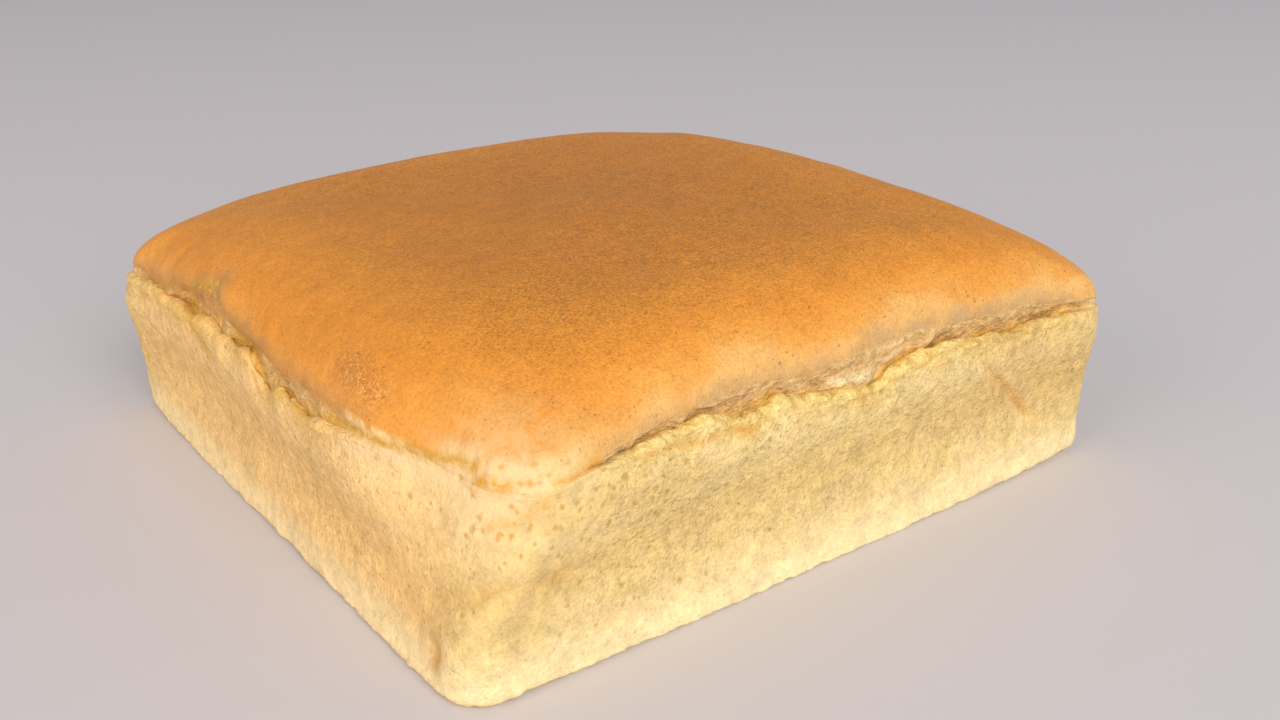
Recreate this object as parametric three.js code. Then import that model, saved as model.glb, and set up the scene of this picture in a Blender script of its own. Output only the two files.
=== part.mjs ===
import * as THREE from 'three';

// A castella sponge cake, baked in a square tin and turned out whole.
// Millimetres, +Z up, origin in the middle of the flat underside.
// The front side faces -Y, and the left side faces -X.
//
// From the table up a side has a foot, a drawn-in waist and a ragged rim. Behind the rim runs
// a crack, where the rising cake tore away from the tin. A band of torn crumb climbs from the
// crack to the lip of the crust, and the crust rounds over a broad shoulder into a low dome.

// Plan.
const SIDE = 196; // a 200 mm tin, less the shrinkage
const HALF = SIDE / 2;
const FOOT_RADIUS = 9.5; // upright corners at the foot
const RIM_RADIUS = 10.5; // and at the rim
const SHOULDER_RADIUS = 36; // corners of the crust where it levels off
const CREST_RADIUS = 48; // and in the middle of the dome

// Side, from the table to the lip of the crust.
const EDGE_ROUND_CORNER = 4.5; // rounding of the edge that meets the table, at the corners
const EDGE_ROUND_MIDDLE = 1.2; // and along the sides
const EDGE_ROUND_RISE = 0.7; // height of that rounding as a share of its depth
const CORNER_SHARPNESS = 2.5; // how late towards a corner the sides change
const WAIST_DEPTH = 4.2;
const WAIST_HEIGHT = 24;
const WAIST_HEIGHT_DRAWN = 10; // at the drawn-in corner
const WAIST_SPREAD = 12;
const WAIST_TURN = 24; // how gradually the left side takes over at its two corners
const RIM_CORNER = 41.4; // height of the rim at the corners
const RIM_MIDDLE = 46; // and halfway along a side
const RIM_ROUND_OPEN = 2.4; // rounding of the rim's top edge where the crack is open
const RIM_ROUND_CLOSED = 0.3;
const OVERHANG_CORNER = 4.2; // how far the side bulges past the foot below the rim
const OVERHANG_MIDDLE = 1.6;
const OVERHANG_PEAK = 0.78; // share of the rim's height at which it bulges most
const RIM_ROLL_CORNER = 2.1; // how far the rim draws back from the bulge
const RIM_ROLL_MIDDLE = 1.2;
const CRACK_SPREAD = 2.2; // how near to the corners the crack stays fully open
const CRACK_DEPTH = 1.5; // below the rim
const CRACK_DEPTH_LEFT = 0.7;
const CRACK_INSET = 4;
const CRACK_INSET_LEFT = 2;
const CLOSED_RISE = 0.4; // share of the way from rim to lip where a closed crack would be
const BAND_CORNER = 2; // height of the torn crumb between rim and lip
const BAND_MIDDLE = 5.6;
const BAND_LEAST = 0.9;

// Crust.
const LIP_INSET = 1.6;
const LIP_FADE = 6; // how far up the crust a low lip shows
const LIP_CUT_LIMIT = 0.9; // most of the way up to the dome that a torn lip may reach
const SHOULDER_CORNER = 37; // width of the round from the lip to the dome, at the corners
const SHOULDER_MIDDLE = 31; // and halfway along a side
const DOME_TOP = 68.5;
const DOME_FALL = 2; // from the middle to the middle of a side
const DOME_CORNER_FALL = 2;
const DOME_BACK_FALL = 1.4; // more along the back, where the cake rose less

// The front left corner was drawn in as the cake came out of the tin.
const LEAN = 15.5;
const LEAN_REACH = 61;
const LEAN_FOOT = 6;
const LEAN_TOP = 46;

// Mesh density.
const SIDE_STEPS = 50; // segments along one side of a wall ring
const WAIST_RINGS = 9;
const EDGE_SHARES = [0, 0.5]; // rings round the edge that meets the table
const ROUND_SHARES = [0.5, 1]; // rings round the rim's top edge
const BAND_SHARES = [0, 0.35, 0.7]; // rings from the crack up to the lip
const CRUST_RINGS = 18;
const CRUST_SPACING_POWER = 1.6; // closer rings near the lip
const CORNER_SHARE = 0.05; // least share of a side's steps for half a corner
const PLINTH = 30; // half width of the square in the middle of the underside

// Places where the rim or the lip rises or dips, the bottom edge is rounder, the wall bulges
// less or the lip stands further in. Every spot is centred on a point of the plan and fades
// over its reach.
const RIM_SPOTS = [
  { x: -HALF, y: -HALF, reach: 20, rise: 1.6 },
  { x: -75, y: -HALF, reach: 14, rise: 2.3 },
  { x: -50, y: -HALF, reach: 12, rise: 1.6 },
  { x: -38, y: -HALF, reach: 6, rise: 3.4 },
  { x: -17, y: -HALF, reach: 3, rise: 1.6 },
  { x: -1, y: -HALF, reach: 7, rise: -1.3 },
  { x: 10, y: -HALF, reach: 8, rise: -4.3 },
  { x: 14, y: -HALF, reach: 3, rise: -1 },
  { x: 32, y: -HALF, reach: 8, rise: 1.8 },
  { x: 50, y: -HALF, reach: 8, rise: -1.7 },
  { x: HALF, y: -22, reach: 8, rise: 2.2 },
  { x: HALF, y: 30, reach: 10, rise: -2 },
  { x: 38, y: HALF, reach: 9, rise: -2.2 },
  { x: -8, y: HALF, reach: 7, rise: 2.4 },
  { x: -HALF, y: 22, reach: 9, rise: 1 },
  { x: -HALF, y: 3, reach: 6, rise: 2 },
  { x: -HALF, y: -9, reach: 5.5, rise: -6.5 },
  { x: -HALF, y: -30, reach: 14, rise: -2.6 },
];
const EDGE_SPOTS = [
  { x: HALF, y: -HALF, reach: 20, rise: 3 },
  { x: -HALF, y: HALF, reach: 20, rise: 1.5 },
  { x: -HALF, y: -12, reach: 34, rise: 2 },
];
const BULGE_SPOTS = [{ x: HALF, y: -HALF, reach: 22, rise: -1.2 }];
const LIP_INSET_SPOTS = [{ x: -HALF, y: HALF, reach: 20, rise: 1.5 }];
const LIP_SPOTS = [
  { x: -35, y: -HALF, reach: 16, rise: -0.8 },
  { x: 8, y: -HALF, reach: 12, rise: -1.2 },
  { x: 60, y: -HALF, reach: 9, rise: -1.5 },
  { x: 80, y: -HALF, reach: 12, rise: -2 },
  { x: HALF, y: 12, reach: 12, rise: 1.6 },
  { x: 20, y: HALF, reach: 14, rise: 1.4 },
  { x: -HALF, y: 80, reach: 9, rise: -2.6 },
  { x: -HALF, y: 68, reach: 16, rise: -4.4 },
  { x: -HALF, y: 44, reach: 8, rise: 2 },
  { x: -HALF, y: 31, reach: 11, rise: 3.5 },
  { x: -HALF, y: 26, reach: 6, rise: 1.8 },
  { x: -HALF, y: 22, reach: 5, rise: 3.6 },
  { x: -HALF, y: 3, reach: 10, rise: -2.4 },
  { x: -HALF, y: -20, reach: 14, rise: -4 },
  { x: -HALF, y: -50, reach: 16, rise: -1.2 },
];
// A place where the crack runs deeper in from the side.
const CRACK_SPOTS = [{ x: -HALF, y: 44, reach: 14, rise: 1.2 }];
// Places where the crack is closed and the crust runs straight into the side.
const CLOSED_SPOTS = [
  { x: -HALF, y: -HALF, reach: 34, rise: 1 },
  { x: -HALF, y: -66, reach: 22, rise: 0.8 },
];
// Waves that make the rim and the lip uneven all the way round.
const RIM_WAVES = [
  { length: 31, size: 0.6, turn: 0.4, phase: 1.1 },
  { length: 17, size: 0.35, turn: 1.2, phase: 4 },
];
const LIP_WAVES = [
  { length: 46, size: 0.7, turn: 0.6, phase: 0.5 },
  { length: 23, size: 0.45, turn: 1, phase: 3.1 },
];

function smoothStep(t) {
  const clamped = Math.min(Math.max(t, 0), 1);
  return clamped * clamped * (3 - 2 * clamped);
}

function mix(a, b, t) {
  return a + (b - a) * t;
}

function sumOfSpots(spots, x, y) {
  let total = 0;
  for (const spot of spots) {
    const distance = Math.hypot(x - spot.x, y - spot.y);
    total += spot.rise * Math.exp(-((distance / spot.reach) ** 2));
  }
  return total;
}

function sumOfWaves(waves, x, y) {
  let total = 0;
  for (const wave of waves) {
    const along = x * Math.cos(wave.turn) + y * Math.sin(wave.turn);
    total += wave.size * Math.sin((2 * Math.PI * along) / wave.length + wave.phase);
  }
  return total;
}

// A point of a rounded square. t runs once round it, from 0 to 4, and a whole number is a
// corner: front left, front right, back right, back left.
function roundedSquare(t, half, cornerRadius) {
  const side = Math.floor(t) % 4;
  const u = t - Math.floor(t);
  const radius = Math.min(cornerRadius, half);
  const flat = half - radius;
  const halfArc = (radius * Math.PI) / 4;
  const share = Math.max(CORNER_SHARE, halfArc / (2 * halfArc + 2 * flat + 1e-9));
  let along = mix(-flat, flat, (u - share) / (1 - 2 * share));
  let out = half;
  if (u < share) {
    const angle = (1 - u / share) * (Math.PI / 4);
    along = -flat - radius * Math.sin(angle);
    out = flat + radius * Math.cos(angle);
  } else if (u > 1 - share) {
    const angle = (1 - (1 - u) / share) * (Math.PI / 4);
    along = flat + radius * Math.sin(angle);
    out = flat + radius * Math.cos(angle);
  }
  const quarter = (side * Math.PI) / 2;
  return {
    x: along * Math.cos(quarter) + out * Math.sin(quarter),
    y: along * Math.sin(quarter) - out * Math.cos(quarter),
  };
}

// 1 halfway along a side, 0 at a corner.
function middleness(x, y) {
  const along = Math.min(Math.abs(x), Math.abs(y)) / HALF;
  return 1 - Math.min(along, 1) ** CORNER_SHARPNESS;
}

// 1 along the left side, 0 along the others.
function leftQuarter(x, y) {
  return smoothStep((y - x) / WAIST_TURN) * smoothStep(-(x + y) / WAIST_TURN);
}

function crackOpenness(x, y) {
  const closed = Math.min(sumOfSpots(CLOSED_SPOTS, x, y), 1);
  return smoothStep(middleness(x, y) * CRACK_SPREAD) * (1 - closed);
}

function rimLevel(x, y) {
  return mix(RIM_CORNER, RIM_MIDDLE, middleness(x, y));
}

function rimHeight(x, y) {
  const waves = sumOfWaves(RIM_WAVES, x, y) * crackOpenness(x, y);
  return rimLevel(x, y) + sumOfSpots(RIM_SPOTS, x, y) + waves;
}

function rimRound(x, y) {
  return mix(RIM_ROUND_CLOSED, RIM_ROUND_OPEN, crackOpenness(x, y));
}

// How far the side stands out past the foot, at a share of the rim's height.
function overhang(x, y, share) {
  const bulge = sumOfSpots(BULGE_SPOTS, x, y);
  const full = mix(OVERHANG_CORNER, OVERHANG_MIDDLE, middleness(x, y)) + bulge;
  const roll = mix(RIM_ROLL_CORNER, RIM_ROLL_MIDDLE, middleness(x, y)) + bulge;
  const rolled = smoothStep((share - OVERHANG_PEAK) / (1 - OVERHANG_PEAK));
  return full * smoothStep(share / OVERHANG_PEAK) - roll * rolled;
}

function rimTopInset(x, y) {
  return rimRound(x, y) - overhang(x, y, 1);
}

function domeHeight(x, y) {
  const a = (x / HALF) ** 2;
  const b = (y / HALF) ** 2;
  const back = Math.max(y / HALF, 0) ** 2;
  return DOME_TOP - DOME_FALL * (a + b) - DOME_CORNER_FALL * a * b - DOME_BACK_FALL * back;
}

function shoulderWidth(x, y) {
  return mix(SHOULDER_CORNER, SHOULDER_MIDDLE, middleness(x, y));
}

// The even curve that the lip of the crust follows.
function lipLevel(x, y) {
  return rimLevel(x, y) + mix(BAND_CORNER, BAND_MIDDLE, crackOpenness(x, y));
}

function evenLipInset(x, y) {
  const even = mix(rimTopInset(x, y), LIP_INSET, crackOpenness(x, y));
  return even + sumOfSpots(LIP_INSET_SPOTS, x, y);
}

function lipHeight(x, y) {
  const uneven = sumOfSpots(LIP_SPOTS, x, y) + sumOfWaves(LIP_WAVES, x, y);
  const lip = lipLevel(x, y) + uneven * crackOpenness(x, y);
  return Math.max(lip, rimHeight(x, y) + BAND_LEAST);
}

// How far the crust is torn back from its even lip, where the lip is raised.
function lipCut(x, y) {
  const raised = Math.max(lipHeight(x, y) - lipLevel(x, y), 0);
  const share = Math.min(raised / (domeHeight(x, y) - lipLevel(x, y)), LIP_CUT_LIMIT);
  return shoulderWidth(x, y) * (1 - Math.sqrt(1 - share ** 2));
}

function lipInset(x, y) {
  return evenLipInset(x, y) + lipCut(x, y);
}

function crackInset(x, y) {
  const closed = (rimTopInset(x, y) + lipInset(x, y)) / 2;
  const open = mix(CRACK_INSET, CRACK_INSET_LEFT, leftQuarter(x, y));
  return mix(closed, open + sumOfSpots(CRACK_SPOTS, x, y), crackOpenness(x, y));
}

// The bottom of the crack. Where the crack is closed it is a step up to the lip.
function crackHeight(x, y) {
  const depth = mix(CRACK_DEPTH, CRACK_DEPTH_LEFT, leftQuarter(x, y));
  const rise = CLOSED_RISE * (lipHeight(x, y) - rimHeight(x, y));
  return rimHeight(x, y) + mix(rise, -depth, crackOpenness(x, y));
}

// The drawn-in corner moves in along +X, from the foot upwards.
function drawIn(point) {
  const alongX = 1 - smoothStep((point.x + HALF) / LEAN_REACH);
  const alongY = 1 - smoothStep((point.y + HALF) / LEAN_REACH);
  const up = smoothStep((point.z - LEAN_FOOT) / (LEAN_TOP - LEAN_FOOT));
  point.x += LEAN * alongX * alongY * up;
  return point;
}

// One closed ring of points. station(x, y) gives the inset and the height of the ring where it
// passes the point x, y of the foot's outline.
function makeRing(steps, cornerRadius, station) {
  const ring = [];
  for (let i = 0; i < 4 * steps; i += 1) {
    const t = i / steps;
    const outline = roundedSquare(t, HALF, FOOT_RADIUS);
    const { inset, height } = station(outline.x, outline.y);
    const place = roundedSquare(t, HALF - inset, Math.max(cornerRadius - inset, 1));
    ring.push(drawIn(new THREE.Vector3(place.x, place.y, height)));
  }
  return ring;
}

function edgeRound(x, y) {
  const even = mix(EDGE_ROUND_CORNER, EDGE_ROUND_MIDDLE, middleness(x, y));
  return even + sumOfSpots(EDGE_SPOTS, x, y);
}

function waistInset(x, y, height) {
  const drawn = Math.exp((-2 * ((x + HALF) ** 2 + (y + HALF) ** 2)) / LEAN_REACH ** 2);
  const leftSide = smoothStep((y - x) / WAIST_TURN);
  const centre = mix(WAIST_HEIGHT, WAIST_HEIGHT_DRAWN, leftSide * drawn);
  const away = (height - centre) / WAIST_SPREAD;
  return WAIST_DEPTH * Math.sqrt(middleness(x, y)) * Math.exp(-(away ** 2));
}

// The side of the cake from the table to the top of the rim.
function makeWall() {
  const rings = [];
  for (const share of EDGE_SHARES) {
    const angle = (share * Math.PI) / 2;
    rings.push(makeRing(SIDE_STEPS, FOOT_RADIUS, (x, y) => ({
      inset: edgeRound(x, y) * (1 - Math.sin(angle)),
      height: edgeRound(x, y) * EDGE_ROUND_RISE * (1 - Math.cos(angle)),
    })));
  }
  for (let i = 0; i < WAIST_RINGS; i += 1) {
    const share = i / (WAIST_RINGS - 1);
    rings.push(makeRing(SIDE_STEPS, mix(FOOT_RADIUS, RIM_RADIUS, share), (x, y) => {
      const low = edgeRound(x, y) * EDGE_ROUND_RISE;
      const height = mix(low, rimHeight(x, y) - rimRound(x, y), share);
      return { inset: waistInset(x, y, height) - overhang(x, y, share), height };
    }));
  }
  for (const share of ROUND_SHARES) {
    const angle = (share * Math.PI) / 2;
    rings.push(makeRing(SIDE_STEPS, RIM_RADIUS, (x, y) => ({
      inset: rimRound(x, y) * (1 - Math.cos(angle)) - overhang(x, y, 1),
      height: rimHeight(x, y) - rimRound(x, y) * (1 - Math.sin(angle)),
    })));
  }
  return rings;
}

// The crack behind the rim and the torn band above it.
function makeTear() {
  return BAND_SHARES.map((share) => makeRing(SIDE_STEPS, RIM_RADIUS, (x, y) => ({
    inset: mix(crackInset(x, y), lipInset(x, y), smoothStep(share)),
    height: mix(crackHeight(x, y), lipHeight(x, y), share),
  })));
}

// How much the plan of the crust is rounded at the corners, a run in from the lip.
function crustRadius(run) {
  const shoulder = Math.min(run / SHOULDER_MIDDLE, 1);
  const crest = smoothStep((run - SHOULDER_MIDDLE) / (HALF - SHOULDER_MIDDLE));
  return mix(RIM_RADIUS, mix(SHOULDER_RADIUS, CREST_RADIUS, crest), shoulder);
}

// The inset and the height of the crust, a run in from its lip.
function crustStation(x, y, run) {
  const torn = mix(lipCut(x, y), HALF, run / HALF);
  const share = 1 - torn / HALF;
  const rise = Math.sqrt(1 - (1 - Math.min(torn / shoulderWidth(x, y), 1)) ** 2);
  const sunk = Math.min(lipHeight(x, y) - lipLevel(x, y), 0) * Math.exp(-run / LIP_FADE);
  return {
    inset: torn + evenLipInset(x, y) * share,
    height: mix(lipLevel(x, y), domeHeight(x * share, y * share), rise) + sunk,
  };
}

// The crust, from its lip to the ring round the top of the dome.
function makeCrust() {
  const rings = [];
  for (let i = 0; i < CRUST_RINGS; i += 1) {
    const run = HALF * (i / CRUST_RINGS) ** CRUST_SPACING_POWER;
    const share = 1 - run / HALF;
    const steps = Math.max(Math.ceil(SIDE_STEPS * share), 2);
    rings.push(makeRing(steps, crustRadius(run) + run, (x, y) => crustStation(x, y, run)));
  }
  return rings;
}

// Collects triangles between neighbouring rings, which may differ in their number of points.
class Skin {
  constructor() {
    this.positions = [];
    this.indices = [];
  }

  addPoints(points) {
    const first = this.positions.length / 3;
    for (const point of points) {
      this.positions.push(point.x, point.y, point.z);
    }
    return { first, count: points.length };
  }

  join(lower, upper) {
    let i = 0;
    let j = 0;
    while (i < lower.count || j < upper.count) {
      const a = lower.first + (i % lower.count);
      const b = upper.first + (j % upper.count);
      if ((i + 1) * upper.count <= (j + 1) * lower.count) {
        i += 1;
        this.indices.push(a, lower.first + (i % lower.count), b);
      } else {
        j += 1;
        this.indices.push(a, upper.first + (j % upper.count), b);
      }
    }
  }

  closeTop(ring, top) {
    const tip = this.addPoints([top]).first;
    for (let i = 0; i < ring.count; i += 1) {
      this.indices.push(ring.first + i, ring.first + ((i + 1) % ring.count), tip);
    }
  }

  toGeometry() {
    const geometry = new THREE.BufferGeometry();
    geometry.setAttribute('position', new THREE.Float32BufferAttribute(this.positions, 3));
    geometry.setIndex(this.indices);
    geometry.computeVertexNormals();
    return geometry;
  }
}

function makeCakeGeometry() {
  const skin = new Skin();
  const corners = [[-1, -1], [1, -1], [1, 1], [-1, 1]];
  const plinth = skin.addPoints(corners.map(([x, y]) => new THREE.Vector3(x * PLINTH, y * PLINTH, 0)));
  skin.indices.push(0, 2, 1, 0, 3, 2);
  let below = plinth;
  for (const ring of [...makeWall(), ...makeTear(), ...makeCrust()]) {
    const above = skin.addPoints(ring);
    skin.join(below, above);
    below = above;
  }
  skin.closeTop(below, new THREE.Vector3(0, 0, DOME_TOP));
  const geometry = skin.toGeometry();
  geometry.computeBoundingBox();
  const centre = geometry.boundingBox.getCenter(new THREE.Vector3());
  return geometry.translate(-centre.x, -centre.y, 0);
}

const sponge = new THREE.Mesh(
  makeCakeGeometry(),
  new THREE.MeshStandardMaterial({ color: 0xe8b878, roughness: 0.85, metalness: 0 }),
);
sponge.name = 'sponge_cake';

const cake = new THREE.Group();
cake.add(sponge);

export default cake;
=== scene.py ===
"""The look of a castella sponge cake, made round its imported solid.

The cake is one closed mesh. Its form follows the same named sizes as the solid, and it adds the
finer relief of crumb, torn edges and crust. Sizes are in millimetres.
"""

from collections import namedtuple

import bpy
import numpy as np
from mathutils import Matrix, Vector
from mathutils.kdtree import KDTree


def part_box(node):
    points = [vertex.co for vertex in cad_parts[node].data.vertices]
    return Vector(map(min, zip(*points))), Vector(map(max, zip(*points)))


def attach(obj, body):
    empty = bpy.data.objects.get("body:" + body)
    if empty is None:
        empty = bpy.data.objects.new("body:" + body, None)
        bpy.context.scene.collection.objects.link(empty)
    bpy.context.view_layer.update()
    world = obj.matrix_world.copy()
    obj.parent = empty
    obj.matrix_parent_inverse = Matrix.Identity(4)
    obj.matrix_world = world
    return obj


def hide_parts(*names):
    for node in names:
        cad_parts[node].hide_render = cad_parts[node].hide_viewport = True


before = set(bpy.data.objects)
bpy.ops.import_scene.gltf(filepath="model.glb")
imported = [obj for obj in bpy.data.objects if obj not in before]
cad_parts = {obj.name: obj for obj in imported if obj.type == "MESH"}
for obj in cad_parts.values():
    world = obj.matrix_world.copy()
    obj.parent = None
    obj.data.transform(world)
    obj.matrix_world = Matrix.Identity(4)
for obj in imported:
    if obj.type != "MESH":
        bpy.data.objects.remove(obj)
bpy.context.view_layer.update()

MM = 0.001
SEED = 7

# Plan.
SIDE = 196
HALF = SIDE / 2
FOOT_RADIUS = 9.5
RIM_RADIUS = 10.5
SHOULDER_RADIUS = 36
CREST_RADIUS = 48

# Side, from the table to the lip of the crust.
EDGE_ROUND_CORNER = 4.5
EDGE_ROUND_MIDDLE = 1.2
EDGE_ROUND_RISE = 0.7
CORNER_SHARPNESS = 2.5
WAIST_DEPTH = 4.2
WAIST_HEIGHT = 24
WAIST_HEIGHT_DRAWN = 10
WAIST_SPREAD = 12
WAIST_TURN = 24
RIM_CORNER = 41.4
RIM_MIDDLE = 46
RIM_ROUND_OPEN = 2.4
RIM_ROUND_CLOSED = 0.3
OVERHANG_CORNER = 4.2
OVERHANG_MIDDLE = 1.6
OVERHANG_PEAK = 0.78
RIM_ROLL_CORNER = 2.1
RIM_ROLL_MIDDLE = 1.2
CRACK_SPREAD = 2.2
CRACK_DEPTH = 1.5
CRACK_DEPTH_LEFT = 0.7
CRACK_LEAST = 0.1
CRACK_INSET = 4
CRACK_INSET_LEFT = 2
CLOSED_RISE = 0.4
SLOPE_CURVE = 1.4
BAND_CORNER = 2
BAND_MIDDLE = 5.6
BAND_LEAST = 0.9

# Crust.
LIP_INSET = 1.6
LIP_FADE = 6
CUT_LIMIT = 0.9
SHOULDER_CORNER = 37
SHOULDER_MIDDLE = 31
DOME_TOP = 68.5
DOME_FALL = 2
DOME_CORNER_FALL = 2
DOME_BACK_FALL = 1.4

# The drawn-in corner.
LEAN = 15.5
LEAN_REACH = 61
LEAN_FOOT = 6
LEAN_TOP = 46

# Rows and columns of the mesh.
SIDE_STEPS = 300
CORNER_SHARE = 0.05
PLINTH = 30
UNDERSIDE_ROWS = [(12, 48), (50, 20), (130, 8)]
EDGE_ROWS = 4
WALL_ROWS = 38
WALL_CROWDING = 1.3
ROUND_ROWS = 4
SLOPE_ROWS = 4
BAND_ROWS = 12
CRUST_ROWS = 50
CRUST_SPACING_POWER = 1.8
CRUST_THINNING = 0.86
NORMAL_ROUNDS = 4

Spot = namedtuple("Spot", "x y reach rise")
Wave = namedtuple("Wave", "length size turn phase")

RIM_SPOTS = [
    Spot(-HALF, -HALF, 20, 1.6),
    Spot(-75, -HALF, 14, 2.3),
    Spot(-50, -HALF, 12, 1.6),
    Spot(-38, -HALF, 6, 3.4),
    Spot(-17, -HALF, 3, 1.6),
    Spot(-1, -HALF, 7, -1.3),
    Spot(10, -HALF, 8, -4.3),
    Spot(14, -HALF, 3, -1),
    Spot(32, -HALF, 8, 1.8),
    Spot(50, -HALF, 8, -1.7),
    Spot(HALF, -22, 8, 2.2),
    Spot(HALF, 30, 10, -2),
    Spot(38, HALF, 9, -2.2),
    Spot(-8, HALF, 7, 2.4),
    Spot(-HALF, 22, 9, 1),
    Spot(-HALF, 3, 6, 2),
    Spot(-HALF, -9, 5.5, -6.5),
    Spot(-HALF, -30, 14, -2.6),
]
EDGE_SPOTS = [
    Spot(HALF, -HALF, 20, 3),
    Spot(-HALF, HALF, 20, 1.5),
    Spot(-HALF, -12, 34, 2),
]
BULGE_SPOTS = [Spot(HALF, -HALF, 22, -1.2)]
LIP_INSET_SPOTS = [Spot(-HALF, HALF, 20, 1.5)]
LIP_SPOTS = [
    Spot(-35, -HALF, 16, -0.8),
    Spot(8, -HALF, 12, -1.2),
    Spot(60, -HALF, 9, -1.5),
    Spot(80, -HALF, 12, -2),
    Spot(HALF, 12, 12, 1.6),
    Spot(20, HALF, 14, 1.4),
    Spot(-HALF, 80, 9, -2.6),
    Spot(-HALF, 68, 16, -4.4),
    Spot(-HALF, 44, 8, 2),
    Spot(-HALF, 26, 6, 1.8),
    Spot(-HALF, 31, 11, 3.5),
    Spot(-HALF, 22, 5, 3.6),
    Spot(-HALF, 3, 10, -2.4),
    Spot(-HALF, -20, 14, -4),
    Spot(-HALF, -50, 16, -1.2),
]
CRACK_SPOTS = [Spot(-HALF, 44, 14, 1.2)]
FLAKE_SPOTS = [
    Spot(4, -HALF, 15, 1),
    Spot(-47, -HALF, 9, 0.8),
]
CLOSED_SPOTS = [
    Spot(-HALF, -HALF, 34, 1),
    Spot(-HALF, -66, 22, 0.8),
]
RIM_WAVES = [
    Wave(31, 0.6, 0.4, 1.1),
    Wave(17, 0.35, 1.2, 4),
]
LIP_WAVES = [
    Wave(46, 0.7, 0.6, 0.5),
    Wave(23, 0.45, 1, 3.1),
]

# Finer unevenness of the edges, in pairs: the size of its features and how far they reach.
RIM_GRAIN = [(15, 0.8), (7, 0.45), (3.4, 0.12)]
LEFT_RAGGEDNESS = 0.4
NOTCHES = [(17, 1)]
NOTCH_DEPTH = 0.9
NOTCH_WIDTH = 0.1
LIP_GRAIN = [(10, 0.4), (4.5, 0.3)]
CRACK_GRAIN = [(12, 0.9), (5, 0.5)]
DROP_GRAIN = [(14, 0.8), (6, 0.4)]

# Relief of the faces.
WALL_GRAIN = [(26, 0.45), (11, 0.25), (4.6, 0.18), (2.8, 0.1)]
RIM_LUMPS = [(8, 0.6), (4, 0.45), (2.2, 0.25)]
LEFT_PILLOWS = [(14, 1.4)]
LUMP_STRETCH = (0.8, 0.8, 1)
LUMP_RISE = 2
LUMP_MIDDLE = 0.6
CREASE_SOFTNESS = 0.1
FLAKE_STRETCH = (0.5, 0.5, 1.3)
BAND_LUMPS = [(9, 0.8), (4, 0.5), (2.1, 0.2)]
LEFT_LUMPS = 1.5
PALE_LUMPS = [(10, 0.7), (4, 0.35), (2.2, 0.2)]
CRUST_GRAIN = [(40, 0.35), (15, 0.14), (6, 0.06), (2.6, 0.04)]
FOOT_GRAIN = [(6, 0.35), (2.6, 0.3), (1.5, 0.2)]
FOOT_STRETCH = (1, 1, 0.4)
EDGE_GRAIN = [(7, 1.1), (3, 0.9), (1.6, 0.6)]
LEFT_BROWNING = 0.05
CREASE_SIZE = 7
CREASE_STRETCH = (0.55, 0.55, 1.5)
CREASE_DEPTH = 0.35
CREASE_WIDTH = 0.12


def ease(t):
    """Rises smoothly from 0 to 1 as t does."""
    t = np.clip(t, 0, 1)
    return t * t * (3 - 2 * t)


def bell(t):
    """1 at 0, falling to 0 on both sides."""
    return np.exp(-(t**2))


def mix(a, b, t):
    return a + (b - a) * t


def sum_of_spots(spots, x, y):
    total = 0
    for spot in spots:
        total = total + spot.rise * np.exp(-((x - spot.x) ** 2 + (y - spot.y) ** 2) / spot.reach**2)
    return total


def sum_of_waves(waves, x, y):
    total = 0
    for wave in waves:
        along = x * np.cos(wave.turn) + y * np.sin(wave.turn)
        total = total + wave.size * np.sin(2 * np.pi * along / wave.length + wave.phase)
    return total


class Noise:
    """Smooth random bumps, at most about 1 high, the same on every run."""

    GAIN = 1.7

    def __init__(self, seed):
        draw = np.random.default_rng(seed)
        self.order = draw.permutation(256)
        slopes = draw.normal(size=(256, 3))
        self.slopes = slopes / np.linalg.norm(slopes, axis=1, keepdims=True)

    def at(self, points, size):
        scaled = points / size
        cell = np.floor(scaled).astype(int)
        inside = scaled - cell
        fade = inside**3 * (inside * (inside * 6 - 15) + 10)
        total = np.zeros(len(points))
        for corner in np.ndindex(2, 2, 2):
            x, y, z = (cell + corner).T & 255
            pick = self.order[(self.order[(self.order[x] + y) & 255] + z) & 255]
            height = ((inside - corner) * self.slopes[pick]).sum(axis=1)
            total += height * np.where(corner, fade, 1 - fade).prod(axis=1)
        return total * self.GAIN

    def sum(self, points, grains):
        return sum(reach * self.at(points, size) for size, reach in grains)

    def lumps(self, points, grains):
        """Rounded lumps with creases between them."""
        total = 0
        for size, reach in grains:
            lump = LUMP_RISE * np.hypot(self.at(points, size), CREASE_SOFTNESS) - LUMP_MIDDLE
            total = total + reach * lump
        return total


edge_noise = Noise(SEED)
face_noise = Noise(SEED + 1)


def edge_grain(x, y, grains, shift=0):
    """Unevenness along the outline. The shift picks another part of the noise."""
    outline = np.stack([x, y, np.zeros_like(x)], axis=1)
    return edge_noise.sum(outline + shift, grains)


def rounded_square(t, half, corner_radius):
    """Points of a rounded square. t runs from 0 to 4, with a corner at each whole number."""
    side = np.floor(t) % 4
    u = t - np.floor(t)
    radius = np.minimum(corner_radius, half)
    flat = half - radius
    half_arc = radius * np.pi / 4
    share = np.maximum(CORNER_SHARE, half_arc / (2 * half_arc + 2 * flat + 1e-9))
    first = u < share
    last = u > 1 - share
    angle = np.where(first, 1 - u / share, 1 - (1 - u) / share) * np.pi / 4
    along = mix(-flat, flat, (u - share) / (1 - 2 * share))
    along = np.where(first, -flat - radius * np.sin(angle), along)
    along = np.where(last, flat + radius * np.sin(angle), along)
    out = np.where(first | last, flat + radius * np.cos(angle), half)
    quarter = side * np.pi / 2
    x = along * np.cos(quarter) + out * np.sin(quarter)
    y = along * np.sin(quarter) - out * np.cos(quarter)
    return x, y


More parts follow.
